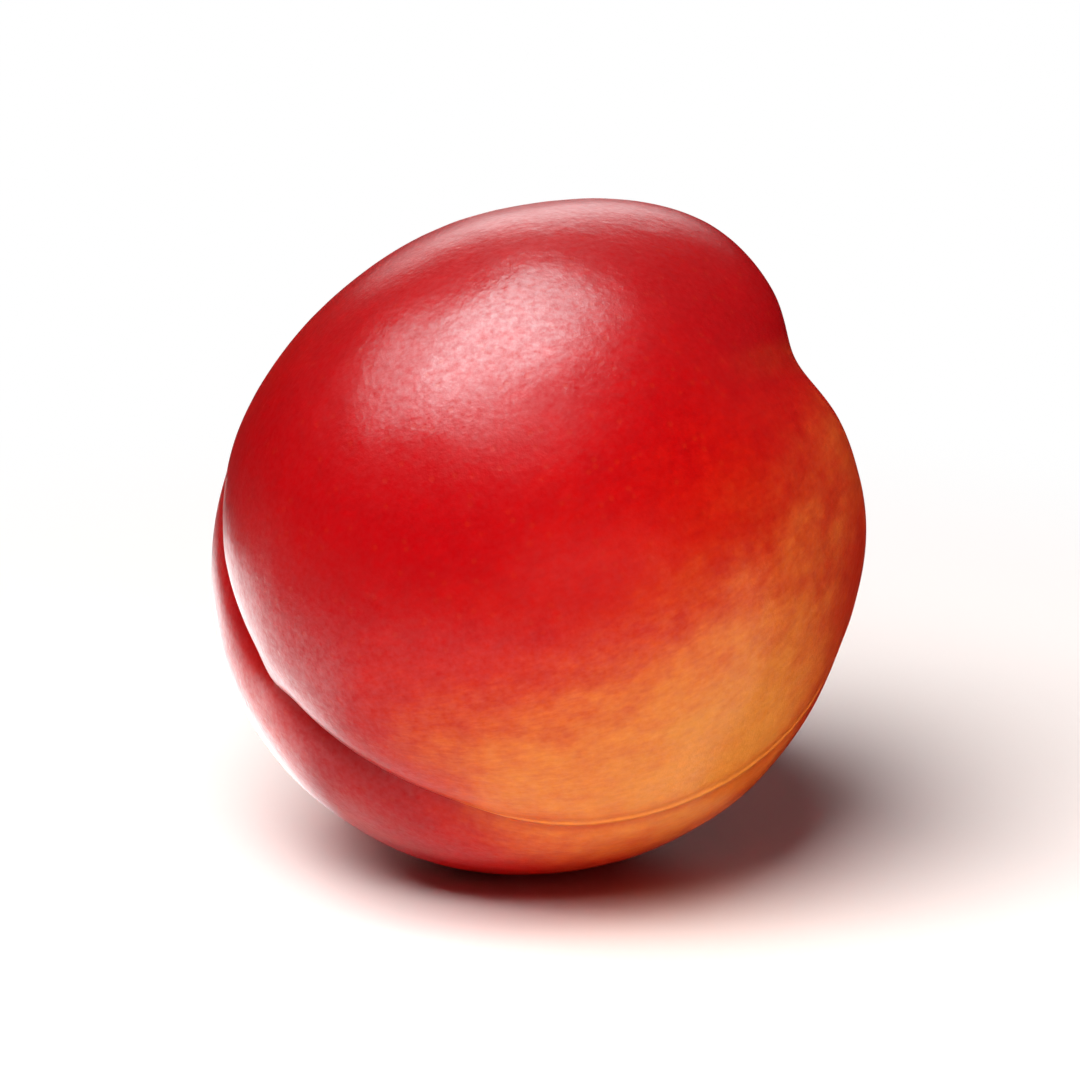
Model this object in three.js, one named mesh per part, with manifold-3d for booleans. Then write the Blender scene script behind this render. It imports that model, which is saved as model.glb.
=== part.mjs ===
// A ripe nectarine, whole and picked, lying on its lower cheek. One closed solid, in millimetres, +Z up.
// The origin is the middle of the small flat spot that the fruit rests on.
//
// The fruit is first shaped standing on its tip, about its own middle: +Z points to the stem end, +X to the
// side that carries the seam, and +Y to the cheek that ends up underneath. A place on the skin is given by
// two angles in degrees: polar, from the stem end at 0 to the tip at 180, and around, from the seam at 0
// towards the lower cheek at 90. The fruit is then turned and set down as it lies.

import * as THREE from "three";
import { mergeVertices } from "three/addons/utils/BufferGeometryUtils.js";
import Module from "manifold-3d";

// Driving dimensions, in millimetres and degrees.

// How far the plain body reaches from its middle, before anything swells or sinks.
const REACH = {
  stem: 29.8,
  tip: 33.5,
  seam: 32.3,
  back: 31.9,
  lowerCheek: 33.6,
  upperCheek: 33.5,
};

// The raised rim round the stem end.
const RIM = { height: 2.1, polar: 31, spread: 19 };

// Broad swells of the flesh, each fading with the angle from its own middle. A negative height is a flat.
const SWELLS = [
  { height: 3.1, polar: 38, around: -140, spread: 20.4 }, // the high shoulder at the back
  { height: -1.0, polar: 44, around: -91, spread: 26 }, // the upper cheek, beside the stem end
  { height: -1.3, polar: 115, around: -166, spread: 30 }, // the flat on the back
  { height: 0.6, polar: 128, around: 60, spread: 28 }, // the lower cheek, beside the tip
];

// The hollow that the stalk grew from, a slot longer along the seam than across it.
const STALK_HOLLOW = { depth: 11.5, alongSeam: 19, acrossSeam: 16, steepness: 2.4 };

// The seam: a groove that leaves the stalk hollow deep, crosses the front as a fine line, deepens again round
// the tip and ends on the back. Its course is the angle along it, from the stem end through the tip.
const SEAM = {
  fineDepth: 0.35,
  fineFrom: 14,
  stemDepth: 2.2,
  stemLength: 28,
  stemLengthOnBack: 13,
  tipDepth: 3.0,
  deepFrom: 132,
  end: 216,
  ramp: 8,
  width: 3.2,
  sharpness: 0.3,
  wander: 0.35,
  wanderPhase: 40,
};

// The shallow trough that the twig pressed across both shoulders and the stalk hollow, fainter on the lower
// cheek, where its depth is only this share.
const TWIG_TROUGH = { depth: 2.0, width: 5.0, length: 49, turn: -10, lowerShare: 0.35, blend: 0.08 };

// The small point where the flower sat, at the bottom of the seam.
const FLOWER_POINT = { height: 0.8, spread: 4.5 };

// How the fruit lies: which way the stem end faces, how far it is raised, and its roll about its own axis.
const LIE = { heading: 30.7, rise: 18.6, roll: -48.9 };

// Where the middle of the body is, over the resting spot. The skin reaches 0.4 mm further down than this
// height, and that much is pressed flat.
const MIDDLE = new THREE.Vector3(1.46, -0.83, 33.16);

// The mesh: steps round the fruit and from end to end, both packed closer where the skin curves most.
const STEPS_AROUND = 96;
const STEPS_POLAR = 48;
const SEAM_PACKING = 1.35;
const STEM_PACKING = 1.15;

const SKIN_COLOUR = 0xb01418;

const { degToRad, radToDeg } = THREE.MathUtils;

// Falls from 1 to 0 as a distance grows past a spread, as a bell curve.
function bell(distance, spread) {
  return Math.exp(-((distance / spread) ** 2));
}

// Rises from 0 to 1 as an angle passes a place, over a few times the ramp.
function rise(angle, place, ramp) {
  return 1 / (1 + Math.exp((place - angle) / ramp));
}

// The unit vector towards a place on the skin.
function direction(polar, around) {
  const out = Math.sin(degToRad(polar));
  const turn = degToRad(around);
  return new THREE.Vector3(out * Math.cos(turn), out * Math.sin(turn), Math.cos(degToRad(polar)));
}

// The body without its hollows: six quarter ellipsoids that meet smoothly.
function bodyRadius(d) {
  const x = d.x / (d.x > 0 ? REACH.seam : REACH.back);
  const y = d.y / (d.y > 0 ? REACH.lowerCheek : REACH.upperCheek);
  const z = d.z / (d.z > 0 ? REACH.stem : REACH.tip);
  return 1 / Math.hypot(x, y, z);
}

// A swell is highest at its middle and fades with the angle from it.
function swellHeight(d, swell) {
  const nearness = d.dot(direction(swell.polar, swell.around));
  return swell.height * Math.exp((nearness - 1) / degToRad(swell.spread) ** 2);
}

// The depth of the stalk hollow, an ellipse when seen along the stem.
function hollowDepth(polar, around) {
  const along = Math.cos(degToRad(around)) / STALK_HOLLOW.alongSeam;
  const across = Math.sin(degToRad(around)) / STALK_HOLLOW.acrossSeam;
  const out = polar * Math.hypot(along, across);
  return STALK_HOLLOW.depth * Math.exp(-(out ** STALK_HOLLOW.steepness));
}

// The depth of the seam: its depth at this course, fading with the distance from its slightly winding line.
function seamDepth(d, radius) {
  const course = (radToDeg(Math.atan2(d.x, d.z)) + 360) % 360;
  const fromStem = course < 180 ? course / SEAM.stemLength : (360 - course) / SEAM.stemLengthOnBack;
  const beforeEnd = rise(SEAM.end, course, SEAM.ramp);
  const fine = SEAM.fineDepth * rise(course, SEAM.fineFrom, SEAM.ramp / 2) * beforeEnd;
  const atStem = SEAM.stemDepth * bell(fromStem, 1);
  const atTip = SEAM.tipDepth * rise(course, SEAM.deepFrom, SEAM.ramp) * beforeEnd;
  const line = SEAM.wander * Math.sin(degToRad(2 * course + SEAM.wanderPhase));
  const away = Math.hypot(radius * d.y - line, SEAM.sharpness) - SEAM.sharpness;
  return (fine + atStem + atTip) * Math.exp(-away / SEAM.width);
}

// The depth of the trough, which runs straight over the stem end and fades out along both shoulders.
function troughDepth(d, polar, radius) {
  const turn = degToRad(TWIG_TROUGH.turn);
  const aside = radius * (d.x * Math.cos(turn) - d.y * Math.sin(turn));
  const reach = Math.exp(-((polar / TWIG_TROUGH.length) ** 4));
  const onUpperCheek = rise(0, d.y, TWIG_TROUGH.blend);
  const share = TWIG_TROUGH.lowerShare + (1 - TWIG_TROUGH.lowerShare) * onUpperCheek;
  return TWIG_TROUGH.depth * share * bell(aside, TWIG_TROUGH.width) * reach;
}

// The distance from the middle of the body to the skin at a place.
function skinRadius(polar, around) {
  const d = direction(polar, around);
  let radius = bodyRadius(d) + RIM.height * bell(polar - RIM.polar, RIM.spread);
  for (const swell of SWELLS) {
    radius += swellHeight(d, swell);
  }
  radius -= hollowDepth(polar, around);
  radius -= seamDepth(d, radius);
  radius -= troughDepth(d, polar, radius);
  return radius + FLOWER_POINT.height * bell(180 - polar, FLOWER_POINT.spread);
}

// The skin as a closed mesh: a sphere whose vertices are moved to their places.
function skinGeometry() {
  const geometry = new THREE.SphereGeometry(1, STEPS_AROUND, STEPS_POLAR);
  const { position, uv } = geometry.attributes;
  for (let i = 0; i < position.count; i += 1) {
    const side = 2 * uv.getX(i) - 1;
    const around = 180 * Math.sign(side) * Math.abs(side) ** SEAM_PACKING;
    const polar = 180 * (1 - uv.getY(i)) ** STEM_PACKING;
    const place = direction(polar, around).multiplyScalar(skinRadius(polar, around));
    position.setXYZ(i, place.x, place.y, place.z);
  }
  return geometry;
}

// Turns the fruit from standing on its tip to lying on its lower cheek, over the resting spot.
function lieDown(geometry) {
  geometry.rotateZ(degToRad(LIE.roll));
  geometry.rotateY(degToRad(90 - LIE.rise));
  geometry.rotateZ(degToRad(LIE.heading));
  geometry.translate(...MIDDLE);
}

const wasm = await Module();
wasm.setup();

function toSolid(geometry) {
  const bare = geometry.clone();
  bare.deleteAttribute("normal");
  bare.deleteAttribute("uv");
  const merged = mergeVertices(bare);
  return new wasm.Manifold(new wasm.Mesh({
    numProp: 3,
    vertProperties: new Float32Array(merged.attributes.position.array),
    triVerts: new Uint32Array(merged.index.array),
  }));
}

function toGeometry(solid) {
  const mesh = solid.getMesh();
  const geometry = new THREE.BufferGeometry();
  geometry.setAttribute("position", new THREE.BufferAttribute(mesh.vertProperties, 3));
  geometry.setIndex(new THREE.BufferAttribute(mesh.triVerts, 1));
  geometry.computeVertexNormals();
  return geometry;
}

// The surface that the fruit stands on, as a block whose top is at height 0.
function groundBlock() {
  const width = 2 * REACH.tip;
  const thickness = REACH.tip / 4;
  return new THREE.BoxGeometry(width, width, thickness).translate(0, 0, -thickness / 2);
}

function makeNectarine() {
  const skin = skinGeometry();
  lieDown(skin);
  const rested = toSolid(skin).subtract(toSolid(groundBlock()));
  const material = new THREE.MeshStandardMaterial({ color: SKIN_COLOUR, roughness: 0.35, metalness: 0 });
  const nectarine = new THREE.Mesh(toGeometry(rested), material);
  nectarine.name = "nectarine";
  return nectarine;
}

const group = new THREE.Group();
group.add(makeNectarine());

export default group;
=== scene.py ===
"""A ripe nectarine, whole and picked, lying on its lower cheek on a plain pale floor.

The fruit is one skin, worked out as a function of two angles. It is first shaped standing on its tip,
about its own middle: +Z points to the stem end, +X to the side that carries the seam, and +Y to the
cheek that ends up underneath. A place on the skin is given by polar, the angle from the stem end at 0 to
the tip at 180, and by around, the angle from the seam at 0 towards the lower cheek at 90. The fruit is
then turned and set down as it lies.
"""

import math

import bpy
import numpy as np
from bpy.props import FloatProperty, FloatVectorProperty, IntProperty, PointerProperty
from mathutils import Matrix, Vector


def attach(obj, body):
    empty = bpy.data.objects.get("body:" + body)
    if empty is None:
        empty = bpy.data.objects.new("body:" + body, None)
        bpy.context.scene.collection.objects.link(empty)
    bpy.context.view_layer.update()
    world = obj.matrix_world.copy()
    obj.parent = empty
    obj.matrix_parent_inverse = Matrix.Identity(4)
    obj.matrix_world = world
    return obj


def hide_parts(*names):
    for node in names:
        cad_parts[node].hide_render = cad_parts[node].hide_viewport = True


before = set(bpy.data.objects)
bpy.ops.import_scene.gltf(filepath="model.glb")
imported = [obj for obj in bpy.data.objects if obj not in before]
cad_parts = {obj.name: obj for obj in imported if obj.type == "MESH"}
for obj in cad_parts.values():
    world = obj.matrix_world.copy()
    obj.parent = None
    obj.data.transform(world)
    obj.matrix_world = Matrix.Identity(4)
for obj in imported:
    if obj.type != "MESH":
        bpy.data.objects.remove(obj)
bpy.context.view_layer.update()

bl_info = {
    "name": "Nectarine",
    "version": (1, 0, 0),
    "blender": (4, 5, 0),
    "location": "View3D > Sidebar > Nectarine",
    "description": "Builds a ripe nectarine and the studio it lies in",
    "category": "Add Mesh",
}

WHITE = (1.0, 1.0, 1.0)
MM = 0.001
NODE = "nectarine"
FRUIT = "nectarine_fruit"
TURN = 360.0
FAR_AWAY = 99.0

# Broad swells of the flesh as (height, polar, around, spread), in millimetres and degrees. Each fades
# with the angle from its own middle, and a negative height is a flat.
SWELLS = (
    (3.1, 38, -140, 20.4),  # the high shoulder at the back
    (-1.0, 44, -91, 26),  # the upper cheek, beside the stem end
    (-1.3, 115, -166, 30),  # the flat on the back
    (0.6, 128, 60, 28),  # the lower cheek, beside the tip
)

# The stalk hollow is a slot, longer along the seam than across it, in degrees from the stem end.
HOLLOW_ALONG, HOLLOW_ACROSS, HOLLOW_STEEPNESS = 19, 16, 2.4

# The rim round the stem end, in degrees.
RIM_POLAR, RIM_SPREAD = 31, 19

# The seam's course is the angle along it, from the stem end through the tip to its end on the back, in
# degrees.
SEAM_FINE_FROM, SEAM_DEEP_FROM, SEAM_END, SEAM_RAMP = 14, 132, 216, 8
SEAM_STEM_LENGTH, SEAM_STEM_LENGTH_ON_BACK = 28, 13
SEAM_WANDER_PHASE = 40
SEAM_TINT_FROM, SEAM_TINT_RAMP = 16, 4
THREAD_FROM, THREAD_TO, THREAD_RAMP = 24, 136, 4
THREAD_DIP_SHARE = 0.4

# The trough that the twig pressed across both shoulders. On the lower cheek its depth is only this
# share.
TWIG_LENGTH, TWIG_TURN, TWIG_LOWER_SHARE, TWIG_BLEND = 49, -10, 0.35, 0.08

POINT_SPREAD = 4.5

# Up to where a place counts as near the stem end, and from where as near the tip, in degrees.
NEAR_STEM, NEAR_TIP = 60, 120

# Waves in the skin and in the stalk's scar, as (wavelength in metres, how many waves, seed).
LONG_RIPPLE, SHORT_RIPPLE, SHORT_RIPPLE_SHARE = (11 * MM, 40, 3), (3.5 * MM, 40, 4), 0.35
TORN_EDGE, ROUGH_FLOOR = (1.6 * MM, 24, 5), (0.9 * MM, 24, 6)

# The scar's rough floor is this share as high as its edge, and the scar ends within this angle, in
# degrees.
ROUGH_FLOOR_SHARE, SCAR_WITHIN, SCAR_WITHIN_RAMP = 0.4, 40, 2

# How the mesh is packed closer to the seam and to the stem end.
SEAM_PACKING, STEM_PACKING = 1.35, 1.15

# Where the yellow ground colour shows through the red, as (strength, polar, around, spread), in degrees.
# A negative strength deepens the red towards crimson instead, and the last three are painted shade.
GROUND_AND_SHADE_PATCHES = (
    (0.97, 98, -12, 26),  # the sunless patch beside the seam
    (0.34, 57, -39, 22.5),  # its arm towards the stem end
    (0.28, 38, -58, 10),  # the orange edge of the shoulder, past that arm
    (0.34, 137, -24, 14.5),  # the sunless patch's arm towards the tip
    (0.14, 145, -40, 11),  # the end of that arm, over the seam's fold
    (0.16, 131, -3, 9),  # below the seam, where its fold begins
    (0.70, 16, 70, 20),  # round the stalk hollow
    (0.45, 166, 80, 12),  # beside the tip, underneath
    (0.48, 92, 112, 28),  # a paler place underneath
    (0.28, 120, -165, 24),  # a faint one on the back
    (-0.34, 156, 24, 14),  # painted shade: the fold below the seam, by the tip, darkened to deep red
    (-0.20, 44, -92, 13),  # painted shade: the shoulder by the stem end, darkened to deep red
    (-0.20, 140, -132, 26),  # painted shade: the tip side of the upper cheek, darkened to deep red
)

# Scales of the skin's patterns. Streaks and fibres run from end to end, and the others are per metre.
STREAK_SCALE, FIBRE_SCALE = 9.0, 62.0
CLOUD_SCALE, MOTTLE_SCALE, PORE_SCALE, GRAIN_SCALE, SHEEN_SCALE = 70.0, 420.0, 620.0, 900.0, 1500.0

# Where the camera and the lamps aim, from the middle of the body, in metres.
AIM_OFFSET = (0.19 * MM, -0.10 * MM, -0.32 * MM)

# Lamps as (name, place from what they aim at, width, depth, turn, what they shine on), in metres and
# degrees. The aimed ones face the fruit, and the others face down. Some light only the fruit, and one
# only the floor.
LAMPS = (
    ("soft_box", (-0.12, -0.33, 0.60), 0.50, 0.36, -22, "diffuse"),
    ("gloss_box", (-0.30, -0.04, 0.60), 0.87, 0.57, -27, "glossy"),
    ("gloss_box_middle", (-0.12, 0.045, 0.59), 0.355, 0.71, -38, "glossy"),
    ("fill", (0.32, -0.84, 0.09), 0.90, 0.22, 0, "diffuse"),
    ("back_fill", (0.50, 0.62, 0.32), 0.90, 0.90, 0, "diffuse"),
    ("floor_box", (-0.18, -0.26, 0.55), 0.57, 0.42, 0, "diffuse"),
)
AIMED_LAMPS = ("fill", "back_fill", "floor_box")
FRUIT_LAMPS = ("soft_box", "fill", "back_fill")
FLOOR_LAMPS = ("floor_box",)

# The lamps for the gloss are cool, so that a highlight stays pale on the red skin.
COOL = (0.56, 0.98, 1.0)

# Half the width of the floor, and the distances from the fruit between which it turns white to the
# camera, in metres.
FLOOR_REACH, FLOOR_WHITE_FROM, FLOOR_WHITE_TO = 8.0, 0.055, 0.15

# Cards that only the gloss sees, as (name, start and end in degrees, radius and height at the foot,
# radius and height at the head, display colour, strength), in metres. No foot touches the floor.
CARDS = (
    ("side_card", (-30, 78), (0.040, 0.0005), (0.062, 0.066), (150, 20, 20), 0.5),
    ("floor_dark_card", (-30, 100), (0.026, 0.0005), (0.040, 0.0005), (60, 8, 8), 0.5),
    ("back_card", (96, 172), (0.100, 0.014), (0.100, 0.066), (120, 14, 18), 0.3),
    ("far_card", (172, 330), (0.150, 0.0005), (0.150, 0.100), (60, 8, 8), 0.2),
)

# The lit floor that only the gloss sees, to the left of the fruit. It is measured along a line with this
# heading, in degrees, and across it, each as (start, end, points), and its soft edges are each a (place,
# ramp), in metres.
GLOW_HEADING, GLOW_LIFT = 150, 0.0004
GLOW_ALONG, GLOW_ACROSS = (0.018, 0.240, 38), (-0.075, 0.100, 30)
GLOW_ALONG_EDGES = (0.024, 0.004), (0.165, 0.035)
GLOW_ACROSS_EDGES = (-0.048, 0.008), (0.062, 0.014)

# The bright back wall that the gloss sees: the direction of its middle, how distances from there are
# stretched, and the distances between which it fades.
BRIGHT_SIDE, BRIGHT_STRETCH, BRIGHT_FADE = (-0.04, 0.95, 0.28), (0.6, 1.0, 1.0), (0.03, 0.27)

# The tent that lights matt surfaces: the direction of its open side, which is white and gives only this
# share of the light, how far the two sides blend, and the display colour of its closed side.
OPEN_SIDE, OPEN_SHARE, OPEN_BLEND, CLOSED_COLOUR = (-0.55, -0.60, 0.55), 0.15, 0.6, (190, 40, 30)


def linear(red, green, blue):
    """A colour given as display values from 0 to 255, as linear values for a shader."""
    share = np.array((red, green, blue)) / 255
    low = share <= 0.04045
    return tuple(float(v) for v in np.where(low, share / 12.92, ((share + 0.055) / 1.055) ** 2.4))


def length(name, description, millimetres):
    """A property that holds a length, given here in millimetres."""
    return FloatProperty(
        name=name, description=description, default=millimetres * MM, unit="LENGTH", precision=5
    )


def colour(name, description, *display):
    """A property that holds a colour, given here as display values from 0 to 255."""
    return FloatVectorProperty(
        name=name, description=description, default=linear(*display), subtype="COLOR", min=0, max=1
    )


def angle(name, description, degrees):
    """A property that holds an angle, given here in degrees."""
    return FloatProperty(
        name=name, description=description, default=math.radians(degrees), subtype="ANGLE"
    )


def number(name, description, default):
    """A property that holds a plain number."""
    return FloatProperty(name=name, description=description, default=default, min=0)


class NectarineShape(bpy.types.PropertyGroup):
    """The sizes of the fruit."""

    reach_stem: length("Reach to the stem end", "From the middle to the stem end, before it sinks", 29.8)
    reach_tip: length("Reach to the tip", "From the middle to the tip", 33.5)
    reach_seam: length("Reach to the seam", "From the middle to the side with the seam", 32.3)
    reach_back: length("Reach to the back", "From the middle to the side without a seam", 31.9)
    reach_lower: length("Reach to the lower cheek", "From the middle to the cheek underneath", 33.6)
    reach_upper: length("Reach to the upper cheek", "From the middle to the cheek on top", 33.5)
    rim_height: length("Rim height", "How far the rim round the stem end stands out", 2.1)
    hollow_depth: length("Stalk hollow depth", "Depth of the hollow that the stalk grew from", 11.5)
    seam_fine_depth: length("Seam depth", "Depth of the seam where it is a fine line", 0.35)
    seam_stem_depth: length("Seam depth at the stem", "Added depth of the seam at the stem end", 2.2)
    seam_tip_depth: length("Seam depth at the tip", "Added depth of the seam round the tip", 3.0)
    seam_width: length("Seam width", "Half the width of the seam's groove", 3.2)
    seam_sharpness: length("Seam rounding", "Radius of the bottom of the seam", 0.3)
    seam_wander: length("Seam wander", "How far the seam strays from a straight line", 0.35)
    thread_height: length("Suture thread", "Height of the fine ridge beside the seam's line", 0.12)
    thread_width: length("Suture thread width", "Half the width of that ridge", 0.32)
    thread_aside: length("Suture thread offset", "How far that ridge lies from the seam's line", 1.0)
    twig_depth: length("Twig trough depth", "Depth of the trough pressed by the twig", 2.0)
    twig_width: length("Twig trough width", "Half the width of that trough", 5.0)
    scar_radius: length("Stalk scar radius", "Radius of the corky scar at the hollow's bottom", 2.3)
    scar_height: length("Stalk scar edge", "How far the torn edge of the scar stands up", 0.35)
    point_height: length("Flower point", "Height of the point where the flower sat", 0.8)
    ripple: length("Skin ripple", "How far the skin waves in and out", 0.022)
    middle: FloatVectorProperty(
        name="Middle", description="Where the middle of the body is", unit="LENGTH",
        default=(1.46 * MM, -0.83 * MM, 33.16 * MM),
    )
    heading: angle("Heading", "Which way the stem end faces", 30.7)
    raised: angle("Rise", "How far the stem end is raised", 18.6)
    roll: angle("Roll", "Turn of the fruit about its own axis", -48.9)
    steps_around: IntProperty(
        name="Steps around", description="Mesh steps round the fruit", default=384, min=32
    )
    steps_polar: IntProperty(
        name="Steps along", description="Mesh steps from end to end", default=248, min=16
    )


class NectarineSkin(bpy.types.PropertyGroup):
    """The colours and the gloss of the skin."""

    # Crimson is the real deep red and also the painted shade where the negative patches deepen the red.
    crimson_and_shade: colour("Crimson", "The deepest red of the sun side", 163, 0, 7)
    red: colour("Red", "The red that covers most of the fruit", 182, 5, 4)
    scarlet: colour("Scarlet", "The thin red at the edge of the blush", 187, 33, 12)
    orange: colour("Orange", "Where red and yellow mix", 212, 90, 32)
    # This amber is multiplied into the band along the suture as painted shade in its grooves.
    groove_shade_amber: colour("Amber", "Tint of the two shallow grooves beside the suture thread", 236, 150, 40)
    yellow: colour("Yellow", "The ground colour", 224, 143, 54)
    olive: colour("Olive", "The unripe tint in the stalk hollow", 150, 128, 40)
    cork: colour("Cork", "The dry scar of the stalk", 150, 108, 66)
    blush_contrast: number("Blush contrast", "How sharply the red gives way to the yellow", 1.0)
    roughness: number("Roughness", "Roughness of the waxy skin", 0.285)


class NectarineStage(bpy.types.PropertyGroup):
    """The camera, the lights and the floor."""

    camera_distance: length("Camera distance", "From the camera to the fruit", 850)
    camera_lens: number("Lens", "Focal length in millimetres", 288.5)
    camera_rise: angle("Camera rise", "How far the camera looks down", 18)
    lamp_power: number("Lamp power", "Power of the soft lamp over the fruit, in watts", 8.2)
    fill_power: number("Fill power", "Power of the lamp in front that lifts the shadows, in watts", 2.2)
    back_fill_power: number("Back fill power", "Power of the lamp behind, on the right, in watts", 2.2)
    floor_power: number("Floor lamp power", "Power of the soft lamp over the floor, in watts", 7.6)
    gloss_power: number("Gloss power", "Power of the broad lamp for the gloss, in watts", 13.2)
    core_power: number("Core power", "Power of the bright middle of that lamp, in watts", 10.2)
    tent_glow: number("Tent glow", "Brightness of the tent, which lights matt surfaces", 0.055)
    floor_glow: number("Floor glow", "Brightness of the lit floor that the gloss sees", 4.9)
    back_glow: number("Back glow", "Brightness of the back wall that the gloss sees", 3.6)
    front_glow: number("Front glow", "Brightness of the other walls that the gloss sees", 0.02)
    floor: colour("Floor", "Colour of the floor", 247, 237, 233)


def bell(distance, spread):
    """Falls from 1 to 0 as a distance grows past a spread: e to the minus of their ratio squared."""
    return np.exp(-((distance / spread) ** 2))


def rise(value, place, ramp):
    """Rises from 0 to 1 as a value passes a place, over a few times the ramp: the logistic curve."""
    return 1 / (1 + np.exp((place - value) / ramp))


def between(value, low, high):
    """Is 1 between two soft edges, each a (place, ramp), and falls to 0 beyond them."""
    return rise(value, *low) * rise(high[0], value, high[1])


def direction(polar, around):
    """The unit vector towards a place: sine of polar times (cosine, sine) of around, and cosine of
    polar."""
    polar, around = np.radians(polar), np.radians(around)
    across = np.sin(polar)
    parts = (across * np.cos(around), across * np.sin(around), np.cos(polar) + 0 * around)
    return np.stack(parts, axis=-1)


def lobe(towards, polar, around, spread):
    """Is 1 at a place and fades with the angle from it: e to the (cosine of the angle less 1) over
    spread squared."""
    return np.exp((towards @ direction(polar, around) - 1) / math.radians(spread) ** 2)


def waves(points, wavelength, count, seed):
    """A soft unevenness with a root mean square of 1: the sum of many cosine waves in random directions,
    times the root of 2 over their count."""
    random = np.random.default_rng(seed)
    heading = random.normal(size=(count, 3))
    heading /= np.linalg.norm(heading, axis=1, keepdims=True)
    pitch = wavelength * random.uniform(0.7, 1.5, count)
    phase = random.uniform(0, 2 * np.pi, count)
    total = np.zeros(points.shape[:-1])
    for along, period, start in zip(heading, pitch, phase):
        total += np.cos(2 * np.pi * (points @ along) / period + start)
    return total * math.sqrt(2 / count)


def body_radius(towards, shape):
    """Six quarter ellipsoids: 1 over the length of the direction divided, axis by axis, by the reach on
    that side."""
    x, y, z = np.moveaxis(towards, -1, 0)
    return 1 / np.sqrt(
        (x / np.where(x > 0, shape.reach_seam, shape.reach_back)) ** 2
        + (y / np.where(y > 0, shape.reach_lower, shape.reach_upper)) ** 2
        + (z / np.where(z > 0, shape.reach_stem, shape.reach_tip)) ** 2
    )


def hollow_out(polar, around):
    """How far out of the stalk hollow a place is, from 0 at its bottom to 1 near its lip: polar over the
    reach of an ellipse that is longer along the seam."""
    around = np.radians(around)
    return polar * np.hypot(np.cos(around) / HOLLOW_ALONG, np.sin(around) / HOLLOW_ACROSS)


def seam_course(towards):
    """The angle along the seam, from the stem end at 0 through the tip at 180."""
    return np.degrees(np.arctan2(towards[..., 0], towards[..., 2])) % TURN


def seam_aside(towards, radius, shape):
    """The distance from the seam's slightly winding line, positive on the lower cheek: radius times y,
    less a sine of twice the course."""
    line = np.sin(np.radians(2 * seam_course(towards) + SEAM_WANDER_PHASE))
    return radius * towards[..., 1] - shape.seam_wander * line


def seam_depth(towards, radius, shape):
    """The fine, stem and tip depths at this course, times e to the minus distance over width, with a
    rounded bottom."""
    course = seam_course(towards)
    length_here = np.where(course < TURN / 2, SEAM_STEM_LENGTH, SEAM_STEM_LENGTH_ON_BACK)
    from_stem = np.minimum(course, TURN - course) / length_here
    before_end = rise(SEAM_END, course, SEAM_RAMP)
    depth = (
        shape.seam_fine_depth * rise(course, SEAM_FINE_FROM, SEAM_RAMP / 2) * before_end
        + shape.seam_stem_depth * bell(from_stem, 1)
        + shape.seam_tip_depth * rise(course, SEAM_DEEP_FROM, SEAM_RAMP) * before_end
    )
    away = np.hypot(seam_aside(towards, radius, shape), shape.seam_sharpness) - shape.seam_sharpness
    return depth * np.exp(-away / shape.seam_width)


def twig_aside(towards, radius):
    """The distance from the middle of the twig's trough: radius times x and y, turned by the trough's
    own angle."""
    turn = math.radians(TWIG_TURN)
    return radius * (towards[..., 0] * math.cos(turn) - towards[..., 1] * math.sin(turn))


def twig_reach(towards, polar):
    """How much of the twig's trough is there: 1 at the stem end, fading at its length, and less on the
    lower cheek."""
    share = TWIG_LOWER_SHARE + (1 - TWIG_LOWER_SHARE) * rise(0, towards[..., 1], TWIG_BLEND)
    return share * np.exp(-((polar / TWIG_LENGTH) ** 4))


def skin_radius(polar, around, shape):
    """The body, plus its rim and swells, less its stalk hollow, seam and twig trough, plus the flower's
    point."""
    towards = direction(polar, around)
    radius = body_radius(towards, shape) + shape.rim_height * bell(polar - RIM_POLAR, RIM_SPREAD)
    for height, swell_polar, swell_around, spread in SWELLS:
        radius = radius + height * MM * lobe(towards, swell_polar, swell_around, spread)
    radius = radius - shape.hollow_depth * np.exp(-(hollow_out(polar, around) ** HOLLOW_STEEPNESS))
    radius = radius - seam_depth(towards, radius, shape)
    across = bell(twig_aside(towards, radius), shape.twig_width)
    radius = radius - shape.twig_depth * across * twig_reach(towards, polar)
    return radius + shape.point_height * bell(180 - polar, POINT_SPREAD)


def thread_reach(course):
    """Where the suture thread runs: along the fine part of the seam, fading at both ends."""
    return rise(course, THREAD_FROM, THREAD_RAMP) * rise(THREAD_TO, course, THREAD_RAMP)


def fine_relief(polar, around, radius, shape):
    """What is too fine for the plain body: soft waves all over, a thread along the seam, and the stalk's
    scar, which is a torn ring with a rough floor."""
    towards = direction(polar, around)
    points = radius[..., None] * towards
    course = seam_course(towards)
    relief = shape.ripple * waves(points, *LONG_RIPPLE)
    relief += SHORT_RIPPLE_SHARE * shape.ripple * waves(points, *SHORT_RIPPLE)
    aside, width = seam_aside(towards, radius, shape) + shape.thread_aside, shape.thread_width
    thread = bell(aside, width) - THREAD_DIP_SHARE * bell(aside + 2 * width, width)
    relief += shape.thread_height * thread_reach(course) * thread
    from_scar = np.hypot(points[..., 0], points[..., 1])
    height = rise(SCAR_WITHIN, polar, SCAR_WITHIN_RAMP) * shape.scar_height
    torn = 1 + 0.5 * waves(points, *TORN_EDGE)
    relief += height * torn * bell(from_scar - shape.scar_radius, 0.22 * shape.scar_radius)
    floor = rise(shape.scar_radius, from_scar, 0.1 * shape.scar_radius)
    relief += ROUGH_FLOOR_SHARE * height * floor * waves(points, *ROUGH_FLOOR)
    return relief


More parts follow.
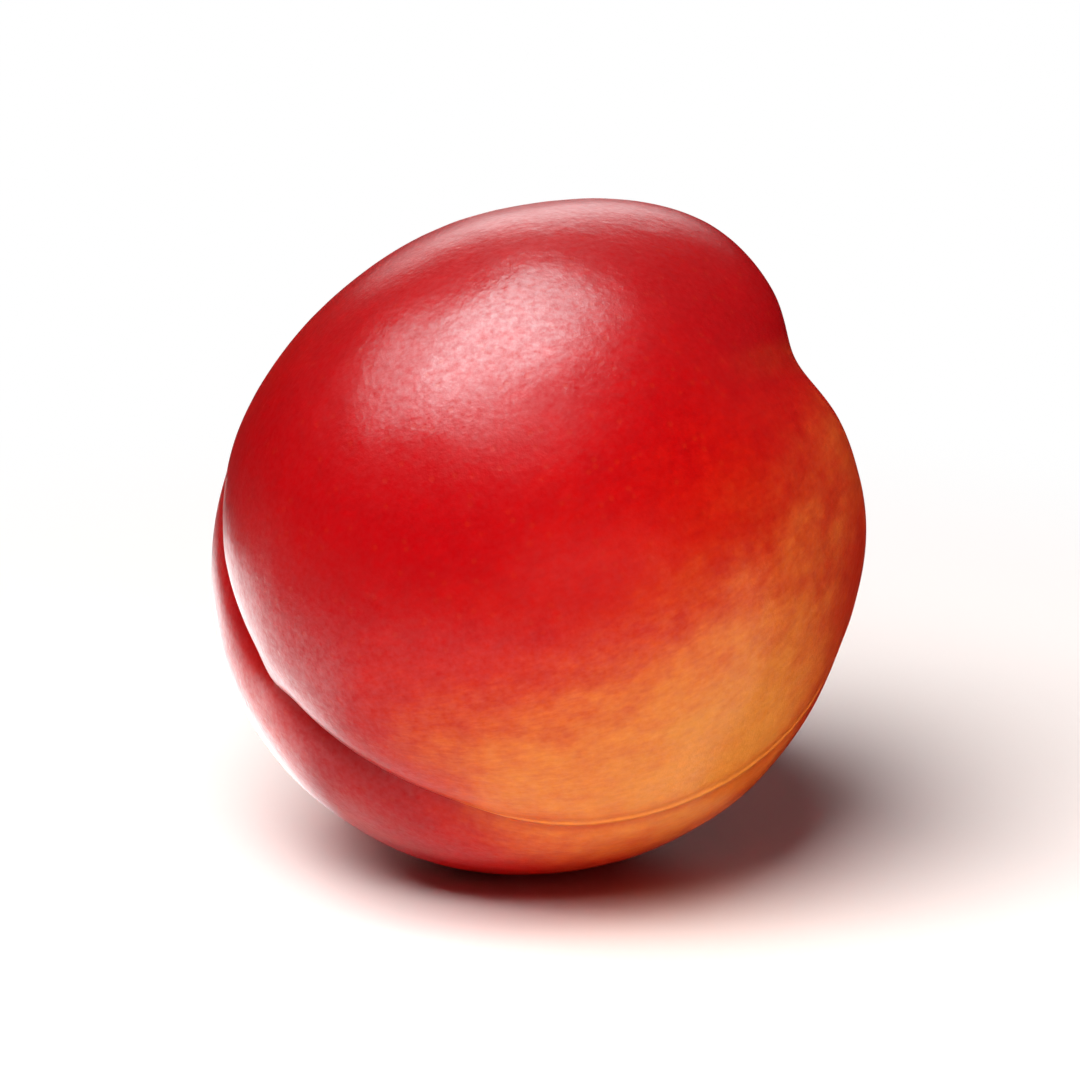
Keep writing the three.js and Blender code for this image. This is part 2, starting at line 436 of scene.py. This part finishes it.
def skin_grid(shape):
    """The two angles over a grid: polar grows as v to a power, and around as u to a power on either side
    of the seam, so that both are packed where the skin curves most. The ends are single points, so they
    are left out."""
    v = np.arange(1, shape.steps_polar) / shape.steps_polar
    side = 2 * np.arange(shape.steps_around) / shape.steps_around - 1
    polar = 180 * v**STEM_PACKING
    around = 180 * np.sign(side) * np.abs(side) ** SEAM_PACKING
    return np.meshgrid(polar, around, indexing="ij")


def skin_places(shape):
    """Polar and around of every vertex: the stem end, the grid row by row, and the tip."""
    polar, around = skin_grid(shape)
    polar = np.concatenate(([0.0], polar.ravel(), [TURN / 2]))
    return polar, np.concatenate(([0.0], around.ravel(), [0.0]))


def skin_faces(rows, columns):
    """Quads between neighbouring rows, each row closed on itself, and a fan of triangles at either
    end."""
    index = 1 + np.arange(rows * columns).reshape(rows, columns)
    after = np.roll(index, -1, axis=1)
    quads = np.stack((index[:-1], index[1:], after[1:], after[:-1]), axis=-1).reshape(-1, 4)
    stem = np.stack((np.zeros(columns, int), index[0], after[0]), axis=-1)
    tip = np.stack((np.full(columns, 1 + rows * columns), after[-1], index[-1]), axis=-1)
    return quads.tolist() + stem.tolist() + tip.tolist()


def grid_faces(rows, columns):
    """Quads between the neighbouring rows of an open grid."""
    index = np.arange(rows * columns).reshape(rows, columns)
    corners = (index[:-1, :-1], index[:-1, 1:], index[1:, 1:], index[1:, :-1])
    return np.stack(corners, axis=-1).reshape(-1, 4).tolist()


def lie_down(points, shape):
    """Rolls the standing fruit about its axis, tips it over, turns it, and moves it over the resting
    spot, where what would reach below the floor is pressed flat."""
    turn = (
        Matrix.Rotation(shape.heading, 3, "Z")
        @ Matrix.Rotation(math.pi / 2 - shape.raised, 3, "Y")
        @ Matrix.Rotation(shape.roll, 3, "Z")
    )
    laid = points @ np.array(turn).T + np.array(shape.middle)
    laid[:, 2] = np.maximum(laid[:, 2], 0)
    return laid


def skin_traits(polar, around, radius, shape):
    """What the skin's material reads at every vertex.

    ground: how much of the yellow ground colour shows, a sum of lobes, lowered as painted shade in three
    places. streak: a place stretched from end to end, as (cosine, sine) of around and a fraction of
    polar.
    seam_aside and twig_aside: distances in millimetres. seam_reach, thread_reach and twig_reach: how
    much of
    each is there. hollow: 0 at the stalk hollow's bottom, 1 near its lip. scar and point: distances in
    millimetres from the middle of the stalk's scar and from the flower's point.
    """
    towards = direction(polar, around)
    course = seam_course(towards)
    ground = sum(strength * lobe(towards, *place) for strength, *place in GROUND_AND_SHADE_PATCHES)
    turned = np.radians(around)
    from_axis = radius * np.sin(np.radians(polar)) / MM
    return {
        "ground": ground,
        "streak": np.stack((np.cos(turned), np.sin(turned), polar / 90), axis=-1),
        "seam_aside": seam_aside(towards, radius, shape) / MM,
        "seam_reach": between(course, (SEAM_TINT_FROM, SEAM_TINT_RAMP), (SEAM_END, SEAM_RAMP)),
        "thread_reach": thread_reach(course),
        "twig_aside": twig_aside(towards, radius) / MM,
        "twig_reach": np.exp(-((polar / TWIG_LENGTH) ** 4)),
        "hollow": hollow_out(polar, around),
        "scar": np.where(polar < NEAR_STEM, from_axis, FAR_AWAY),
        "point": np.where(polar > NEAR_TIP, from_axis, FAR_AWAY),
    }


def set_trait(mesh, name, values):
    """Puts one value or vector for each vertex into the mesh as an attribute."""
    is_vector = values.ndim > 1
    kind = "FLOAT_VECTOR" if is_vector else "FLOAT"
    attribute = mesh.attributes.new(name, kind, "POINT")
    attribute.data.foreach_set("vector" if is_vector else "value", values.astype(np.float32).ravel())


def make_fruit_mesh(shape):
    """The whole skin as one closed mesh in the fruit's resting place."""
    polar, around = skin_places(shape)
    radius = skin_radius(polar, around, shape)
    traits = skin_traits(polar, around, radius, shape)
    radius = radius + fine_relief(polar, around, radius, shape)
    points = lie_down(radius[:, None] * direction(polar, around), shape)
    mesh = bpy.data.meshes.new("nectarine_skin")
    mesh.from_pydata(points.tolist(), [], skin_faces(shape.steps_polar - 1, shape.steps_around))
    for name, values in traits.items():
        set_trait(mesh, name, values)
    mesh.polygons.foreach_set("use_smooth", np.ones(len(mesh.polygons), bool))
    mesh.update()
    return mesh


class Nodes:
    """Makes the nodes of a material or world, each linked to what it reads."""

    def __init__(self, tree):
        self.tree = tree
        tree.nodes.clear()

    def add(self, kind, inputs=(), output=0, **settings):
        """A node with its settings, and its inputs by name or number set or linked. Gives back the
        output wanted."""
        node = self.tree.nodes.new(kind)
        for name, value in settings.items():
            setattr(node, name, value)
        for key, value in dict(inputs).items():
            if isinstance(value, bpy.types.NodeSocket):
                self.tree.links.new(value, node.inputs[key])
            else:
                node.inputs[key].default_value = value
        return node.outputs[output] if node.outputs else node

    def trait(self, name, output="Fac"):
        """An attribute of the mesh."""
        return self.add("ShaderNodeAttribute", output=output, attribute_name=name)

    def math(self, operation, a, b=0.0, c=0.0, clamp=False):
        """One sum."""
        return self.add("ShaderNodeMath", {0: a, 1: b, 2: c}, operation=operation, use_clamp=clamp)

    def noise(self, vector, scale, detail=2.0, roughness=0.5, distortion=0.0):
        """Noise from about 0 to 1 around a middle of 0.5."""
        inputs = {"Vector": vector, "Scale": scale, "Detail": detail, "Roughness": roughness}
        return self.add("ShaderNodeTexNoise", inputs | {"Distortion": distortion}, output="Fac")

    def ramp(self, value, low, high, start=0.0, end=1.0):
        """Goes smoothly from start to end as a value goes from low to high."""
        inputs = {"Value": value, "From Min": low, "From Max": high, "To Min": start, "To Max": end}
        return self.add("ShaderNodeMapRange", inputs, interpolation_type="SMOOTHSTEP")

    def band(self, aside, near, far):
        """Is 1 on a line and goes smoothly to 0 on both its sides, as the distance aside goes from near
        to far."""
        return self.ramp(self.math("ABSOLUTE", aside), near, far, 1.0, 0.0)

    def vary(self, pattern, strength, base, clamp=False):
        """A base made higher and lower by a pattern: strength times the pattern less 0.5, plus the
        base."""
        centred = self.math("SUBTRACT", pattern, 0.5)
        return self.math("MULTIPLY_ADD", centred, strength, base, clamp=clamp)

    def grey(self, value):
        """A colour with the same value in red, green and blue."""
        return self.add("ShaderNodeCombineColor", {0: value, 1: value, 2: value})

    def mix(self, share, a, b, blend="MIX"):
        """Mixes two colours."""
        node = self.tree.nodes.new("ShaderNodeMix")
        node.data_type = "RGBA"
        node.blend_type = blend
        node.clamp_factor = True
        for socket, value in ((node.inputs[0], share), (node.inputs[6], a), (node.inputs[7], b)):
            if isinstance(value, bpy.types.NodeSocket):
                self.tree.links.new(value, socket)
            elif isinstance(value, (int, float)):
                socket.default_value = value
            else:
                socket.default_value = (*value[:3], 1.0)
        return node.outputs[2]

    def colour_ramp(self, value, stops):
        """A colour from a row of (place, colour) stops."""
        node = self.tree.nodes.new("ShaderNodeValToRGB")
        node.color_ramp.interpolation = "B_SPLINE"
        elements = node.color_ramp.elements
        while len(elements) < len(stops):
            elements.new(1.0)
        for element, (place, shade) in zip(elements, stops):
            element.position = place
            element.color = (*shade[:3], 1.0)
        self.tree.links.new(value, node.inputs["Fac"])
        return node.outputs["Color"]


def make_skin_material(skin, shape):
    """Waxy skin: a red blush over a yellow ground, streaked from end to end, with painted shade
    deepening the red in three places, a bare streak where the twig lay, a thread along the seam with a
    painted highlight between painted shade in its grooves and crease, small pores, an olive hollow and a
    corky scar."""
    material = bpy.data.materials.new("nectarine_skin")
    material.use_nodes = True
    n = Nodes(material.node_tree)
    place = n.add("ShaderNodeTexCoord", output="Object")
    streak = n.trait("streak", "Vector")

    # How much yellow shows: the broad field, with its patches of painted shade, broken by streaks,
    # clouds, fine mottling and fibres.
    streaks = n.noise(streak, STREAK_SCALE, 4.0, 0.6, 0.3)
    clouds = n.noise(place, CLOUD_SCALE, 3.0, 0.55)
    mottle = n.noise(place, MOTTLE_SCALE, 3.0, 0.6)
    stretched = n.add("ShaderNodeVectorMath", {0: streak, 1: (1.0, 1.0, 0.6)}, operation="MULTIPLY")
    fibres = n.noise(stretched, FIBRE_SCALE, 2.0, 0.6)
    uneven = 0.0
    for pattern, strength in ((streaks, 0.38), (clouds, 0.24), (mottle, 0.24), (fibres, 0.16)):
        uneven = n.vary(pattern, strength, uneven)
    uneven = n.math("MULTIPLY", uneven, n.ramp(n.trait("ground"), 0.05, 0.5, 0.45, 1.0))
    broken = n.vary(n.math("ADD", n.trait("ground"), uneven), skin.blush_contrast, 0.5)
    tint = n.colour_ramp(broken, (
        (0.0, skin.crimson_and_shade),
        (0.22, skin.red),
        (0.45, skin.scarlet),
        (0.7, skin.orange),
        (1.0, skin.yellow),
    ))

    # The colour itself is a little uneven in depth.
    tone = n.vary(fibres, 0.18, n.math("MULTIPLY_ADD", mottle, 0.2, 0.86))
    tint = n.mix(1.0, tint, n.grey(tone), "MULTIPLY")

    # The bare streak where the twig lay.
    twig = n.math("MULTIPLY", n.band(n.trait("twig_aside"), 0.6, 2.6), n.trait("twig_reach"))
    twig = n.math("MULTIPLY", twig, n.ramp(streaks, 0.3, 0.6, 0.35, 1.0))
    tint = n.mix(n.math("MULTIPLY", twig, 0.22), tint, skin.orange)

    # Painted light and shade along the suture: the thread gets a painted highlight where the skin is
    # yellow, the band round it is multiplied with amber as painted shade in its grooves, and the seam's
    # line is made darker as painted shade in its crease.
    off_thread = n.math("ADD", n.trait("seam_aside"), shape.thread_aside / MM)
    # Painted shade in the grooves beside the thread.
    groove = n.math("MULTIPLY", n.band(off_thread, 1.2, 2.6), n.trait("thread_reach"))
    tint = n.mix(n.math("MULTIPLY", groove, 0.30), tint, skin.groove_shade_amber, "MULTIPLY")
    # Painted highlight on the thread's ridge.
    thread = n.math("MULTIPLY", n.band(off_thread, 0.2, 0.65), n.trait("thread_reach"))
    thread = n.math("MULTIPLY", thread, n.ramp(broken, 0.25, 0.7, 0.09, 0.5))
    tint = n.mix(thread, tint, [c * 1.2 for c in skin.yellow])
    # Painted shade in the seam's crease.
    crease_shade = n.math("MULTIPLY", n.band(n.trait("seam_aside"), 0.1, 0.9), n.trait("seam_reach"))
    tint = n.mix(n.math("MULTIPLY", crease_shade, 0.28), tint, skin.scarlet, "MULTIPLY")

    # Pores: small pale dots, scattered.
    pores = n.add("ShaderNodeTexVoronoi", {"Vector": place, "Scale": PORE_SCALE}, output="Distance")
    pores = n.ramp(pores, 0.10, 0.24, 1.0, 0.0)
    tint = n.mix(n.math("MULTIPLY", pores, 0.05), tint, skin.orange)

    # The stalk hollow: yellow, then olive, and the torn scar at its bottom.
    hollow = n.vary(clouds, 0.5, n.trait("hollow"))
    tint = n.mix(n.ramp(hollow, 0.55, 1.05, 0.9, 0.0), tint, skin.yellow)
    tint = n.mix(n.ramp(hollow, 0.15, 0.6, 0.75, 0.0), tint, skin.olive)
    scar_radius = shape.scar_radius / MM
    rough_edge = n.vary(mottle, 1.2, n.trait("scar"))
    scar = n.ramp(rough_edge, scar_radius, 1.3 * scar_radius, 1.0, 0.0)
    off_ring = n.math("ABSOLUTE", n.math("SUBTRACT", rough_edge, 0.72 * scar_radius))
    ring = n.ramp(off_ring, 0.0, 0.35, 0.35, 1.0)
    dry_tint = n.mix(mottle, [c * 0.35 for c in skin.cork], [c * 1.5 for c in skin.cork])
    dry_tint = n.mix(1.0, dry_tint, n.grey(ring), "MULTIPLY")
    tint = n.mix(scar, tint, dry_tint)

    # The dry point where the flower sat.
    point = n.ramp(n.trait("point"), 0.3, 0.8, 0.6, 0.0)
    tint = n.mix(point, tint, skin.cork)

    # The wax: a little uneven, dull where it is dry, with a fine grain in its gloss and in its height.
    roughness = n.vary(clouds, 0.03, skin.roughness)
    roughness = n.math("MULTIPLY_ADD", n.math("MAXIMUM", scar, point), 0.45, roughness, clamp=True)
    gloss = n.vary(n.noise(place, SHEEN_SCALE, 2.0, 0.6), 0.9, 0.5, clamp=True)
    grain = n.math("MULTIPLY_ADD", pores, -0.15, n.noise(place, GRAIN_SCALE, 3.0, 0.65))
    bump = {"Strength": 1.0, "Distance": 0.05 * MM, "Height": grain}
    normal = n.add("ShaderNodeBump", bump, output="Normal")

    shader = n.add("ShaderNodeBsdfPrincipled", {
        "Base Color": tint,
        "Roughness": roughness,
        "Normal": normal,
        "Specular IOR Level": gloss,
        "IOR": 1.33,
        "Subsurface Weight": 0.12,
        "Subsurface Radius": (1.0, 0.35, 0.15),
        "Subsurface Scale": 1.6 * MM,
    })
    n.add("ShaderNodeOutputMaterial", {"Surface": shader})
    return material


def link(made):
    """Shows an object in the scene."""
    bpy.context.scene.collection.objects.link(made)
    return made


def aim(made, target):
    """Turns a lamp or a camera to look at a place."""
    made.rotation_euler = (Vector(target) - made.location).to_track_quat("-Z", "Y").to_euler()


def make_camera(stage, target):
    """A long lens that looks at the fruit from a little above."""
    data = bpy.data.cameras.new("camera")
    data.lens = stage.camera_lens
    data.sensor_width = 36
    data.clip_start, data.clip_end = 0.01, 50
    camera = link(bpy.data.objects.new("camera", data))
    back = Vector((0, -math.cos(stage.camera_rise), math.sin(stage.camera_rise)))
    camera.location = Vector(target) + stage.camera_distance * back
    aim(camera, target)
    bpy.context.scene.camera = camera


def make_lamp(name, place, width, depth, turn, shines, watts, target):
    """A flat soft lamp at a place measured from the target, facing down. It shines either on what is
    matt, as "diffuse", or only in the gloss, as "glossy", and then it is cool."""
    data = bpy.data.lights.new(name, "AREA")
    data.shape = "RECTANGLE"
    data.size, data.size_y = width, depth
    data.energy = watts
    lamp = link(bpy.data.objects.new(name, data))
    lamp.location = Vector(target) + Vector(place)
    lamp.rotation_euler = (0, 0, math.radians(turn))
    lamp.visible_diffuse = shines == "diffuse"
    lamp.visible_glossy = shines == "glossy"
    if shines == "glossy":
        data.color = COOL
    return lamp


def light_only(lit, lamps):
    """Makes some lamps light one object alone; everything still casts its shadow there."""
    receivers = bpy.data.collections.new("lit_" + lit.name)
    receivers.objects.link(lit)
    for lamp in lamps:
        lamp.light_linking.receiver_collection = receivers


def make_floor(stage):
    """A plain matt floor at height 0, which turns white to the camera away from the fruit, as the walls
    do."""
    mesh = bpy.data.meshes.new("floor")
    corners = FLOOR_REACH * np.array([(-1, -1, 0), (1, -1, 0), (1, 1, 0), (-1, 1, 0)])
    mesh.from_pydata(corners.tolist(), [], [(0, 1, 2, 3)])
    material = bpy.data.materials.new("floor")
    material.use_nodes = True
    n = Nodes(material.node_tree)
    matt = n.add("ShaderNodeBsdfPrincipled", {
        "Base Color": (*stage.floor, 1.0), "Roughness": 0.5, "Specular IOR Level": 0.0,
    })
    place = n.add("ShaderNodeTexCoord", output="Object")
    away = n.add("ShaderNodeVectorMath", {0: place}, output="Value", operation="LENGTH")
    seen = n.add("ShaderNodeLightPath", output="Is Camera Ray")
    share = n.math("MULTIPLY", n.ramp(away, FLOOR_WHITE_FROM, FLOOR_WHITE_TO), seen)
    white = n.add("ShaderNodeEmission", {"Color": (*WHITE, 1.0), "Strength": 1.0})
    shader = n.add("ShaderNodeMixShader", {0: share, 1: matt, 2: white})
    n.add("ShaderNodeOutputMaterial", {"Surface": shader})
    mesh.materials.append(material)
    floor = link(bpy.data.objects.new("floor", mesh))


def show_in_gloss(card, strength, shade):
    """Makes a mesh glow, so that only the gloss sees it. With no strength given, it reads its "glow"
    attribute."""
    material = bpy.data.materials.new(card.name)
    material.use_nodes = True
    n = Nodes(material.node_tree)
    if strength is None:
        strength = n.trait("glow")
    shader = n.add("ShaderNodeEmission", {"Color": (*shade, 1.0), "Strength": strength})
    n.add("ShaderNodeOutputMaterial", {"Surface": shader})
    card.data.materials.append(material)
    for rays in ("camera", "diffuse", "shadow", "transmission", "volume_scatter"):
        setattr(card, "visible_" + rays, False)


def make_card(name, angles, foot, head, shade, strength):
    """A card round the fruit, an arc of a cone from one angle to another, with a radius and a height at
    its foot and at its head. It stands where a neighbouring fruit would show in the gloss."""
    around = np.radians(np.linspace(*angles, 22))
    ring = np.stack((np.cos(around), np.sin(around), np.zeros(around.size)), axis=-1)
    points = np.concatenate((foot[0] * ring + (0, 0, foot[1]), head[0] * ring + (0, 0, head[1])))
    mesh = bpy.data.meshes.new(name)
    mesh.from_pydata(points.tolist(), [], grid_faces(2, around.size))
    show_in_gloss(link(bpy.data.objects.new(name, mesh)), strength, linear(*shade))


def make_floor_glow(stage):
    """The brightly lit floor to the left of the fruit, as its gloss sees it: a flat grid just off the
    floor, along and across a line that runs away to the back left, whose glow fades at all its edges."""
    along, across = np.meshgrid(np.linspace(*GLOW_ALONG), np.linspace(*GLOW_ACROSS), indexing="ij")
    glow = stage.floor_glow * between(along, *GLOW_ALONG_EDGES) * between(across, *GLOW_ACROSS_EDGES)
    way = math.radians(GLOW_HEADING)
    x = along * math.cos(way) - across * math.sin(way)
    y = along * math.sin(way) + across * math.cos(way)
    points = np.stack((x, y, np.full(x.shape, GLOW_LIFT)), axis=-1).reshape(-1, 3)
    mesh = bpy.data.meshes.new("floor_glow")
    mesh.from_pydata(points.tolist(), [], grid_faces(*x.shape))
    set_trait(mesh, "glow", glow.ravel())
    show_in_gloss(link(bpy.data.objects.new("floor_glow", mesh)), None, WHITE)


def make_studio(stage):
    """The studio's walls. To the camera they are white. To the gloss they are bright behind the fruit
    and dark all round. To matt surfaces they are a dim tent, white on its open side and red where the
    neighbouring fruits lay."""
    world = bpy.data.worlds.new("studio")
    world.use_nodes = True
    n = Nodes(world.node_tree)
    towards = n.add("ShaderNodeTexCoord", output="Generated")
    camera = n.add("ShaderNodeLightPath", output="Is Camera Ray")
    matt = n.add("ShaderNodeLightPath", output="Is Diffuse Ray")

    bright_side = tuple(Vector(BRIGHT_SIDE).normalized())
    off = n.add("ShaderNodeVectorMath", {0: towards, 1: bright_side}, operation="SUBTRACT")
    off = n.add("ShaderNodeVectorMath", {0: off, 1: BRIGHT_STRETCH}, operation="MULTIPLY")
    off = n.add("ShaderNodeVectorMath", {0: off}, output="Value", operation="LENGTH")
    glow = n.ramp(off, *BRIGHT_FADE, stage.back_glow, stage.front_glow)
    glow = n.math("MULTIPLY", glow, n.math("SUBTRACT", 1.0, matt))

    facing = {0: towards, 1: tuple(Vector(OPEN_SIDE).normalized())}
    facing = n.add("ShaderNodeVectorMath", facing, output="Value", operation="DOT_PRODUCT")
    open_part = n.ramp(facing, -OPEN_BLEND, OPEN_BLEND)
    tent = n.math("MULTIPLY_ADD", open_part, (OPEN_SHARE - 1) * stage.tent_glow, stage.tent_glow)
    tent = n.math("MULTIPLY", matt, tent)
    closed_part = n.math("MULTIPLY", matt, n.math("SUBTRACT", 1.0, open_part))

    shader = n.add("ShaderNodeBackground", {
        "Color": n.mix(closed_part, WHITE, linear(*CLOSED_COLOUR)),
        "Strength": n.math("MAXIMUM", camera, n.math("MAXIMUM", tent, glow)),
    })
    n.add("ShaderNodeOutputWorld", {"Surface": shader})
    bpy.context.scene.world = world


class NECTARINE_OT_fruit(bpy.types.Operator):
    """Build the nectarine's skin and its material in place of the plain solid"""

    bl_idname = "nectarine.fruit"
    bl_label = "Build the fruit"
    bl_options = {"REGISTER", "UNDO"}

    def execute(self, context):
        """Makes the piece, gives it its finish and lets it ride on the body of the solid that it stands
        for."""
        shape, skin = context.scene.nectarine_shape, context.scene.nectarine_skin
        mesh = make_fruit_mesh(shape)
        mesh.materials.append(make_skin_material(skin, shape))
        fruit = link(bpy.data.objects.new(FRUIT, mesh))
        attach(fruit, "root")
        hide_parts(NODE)
        return {"FINISHED"}


class NECTARINE_OT_stage(bpy.types.Operator):
    """Set up the camera, the floor, the lamps and the studio round the fruit"""

    bl_idname = "nectarine.stage"
    bl_label = "Set up the stage"
    bl_options = {"REGISTER", "UNDO"}

    def execute(self, context):
        """Makes the camera, the floor, the lamps, the cards and the walls.

        Matt surfaces are lit by soft lamps, one of them for the floor alone, and the gloss by a broad
        lamp with a bright middle, above and to the left.
        """
        stage = context.scene.nectarine_stage
        target = Vector(context.scene.nectarine_shape.middle) + Vector(AIM_OFFSET)
        make_camera(stage, target)
        make_floor(stage)
        powers = {
            "soft_box": stage.lamp_power,
            "fill": stage.fill_power,
            "back_fill": stage.back_fill_power,
            "floor_box": stage.floor_power,
            "gloss_box": stage.gloss_power,
            "gloss_box_middle": stage.core_power,
        }
        lamps = {name: make_lamp(name, *settings, powers[name], target) for name, *settings in LAMPS}
        for name in AIMED_LAMPS:
            aim(lamps[name], target)
        light_only(bpy.data.objects[FRUIT], [lamps[name] for name in FRUIT_LAMPS])
        light_only(bpy.data.objects["floor"], [lamps[name] for name in FLOOR_LAMPS])
        for card in CARDS:
            make_card(*card)
        make_floor_glow(stage)
        make_studio(stage)
        context.scene.view_settings.view_transform = "Standard"
        return {"FINISHED"}


class NECTARINE_PT_panel(bpy.types.Panel):
    """Lists the nectarine's sizes, colours and builders"""

    bl_label = "Nectarine"
    bl_idname = "NECTARINE_PT_panel"
    bl_space_type = "VIEW_3D"
    bl_region_type = "UI"
    bl_category = "Nectarine"

    def draw(self, context):
        """Draws each group of properties above the operator that reads it."""
        layout = self.layout
        scene = context.scene
        parts = (
            ("nectarine_shape", None),
            ("nectarine_skin", NECTARINE_OT_fruit.bl_idname),
            ("nectarine_stage", NECTARINE_OT_stage.bl_idname),
        )
        for name, operator in parts:
            group = getattr(scene, name)
            box = layout.box()
            for key in group.__annotations__:
                box.prop(group, key)
            if operator:
                box.operator(operator)


CLASSES = (
    NectarineShape,
    NectarineSkin,
    NectarineStage,
    NECTARINE_OT_fruit,
    NECTARINE_OT_stage,
    NECTARINE_PT_panel,
)


def register():
    """Registers the classes and gives the scene its properties."""
    for each in CLASSES:
        bpy.utils.register_class(each)
    bpy.types.Scene.nectarine_shape = PointerProperty(type=NectarineShape)
    bpy.types.Scene.nectarine_skin = PointerProperty(type=NectarineSkin)
    bpy.types.Scene.nectarine_stage = PointerProperty(type=NectarineStage)


def unregister():
    """Takes the properties and the classes away again."""
    del bpy.types.Scene.nectarine_stage
    del bpy.types.Scene.nectarine_skin
    del bpy.types.Scene.nectarine_shape
    for each in reversed(CLASSES):
        bpy.utils.unregister_class(each)


def main():
    """Builds everything in order."""
    register()
    bpy.ops.nectarine.fruit()
    bpy.ops.nectarine.stage()


if __name__ == "__main__":
    main()
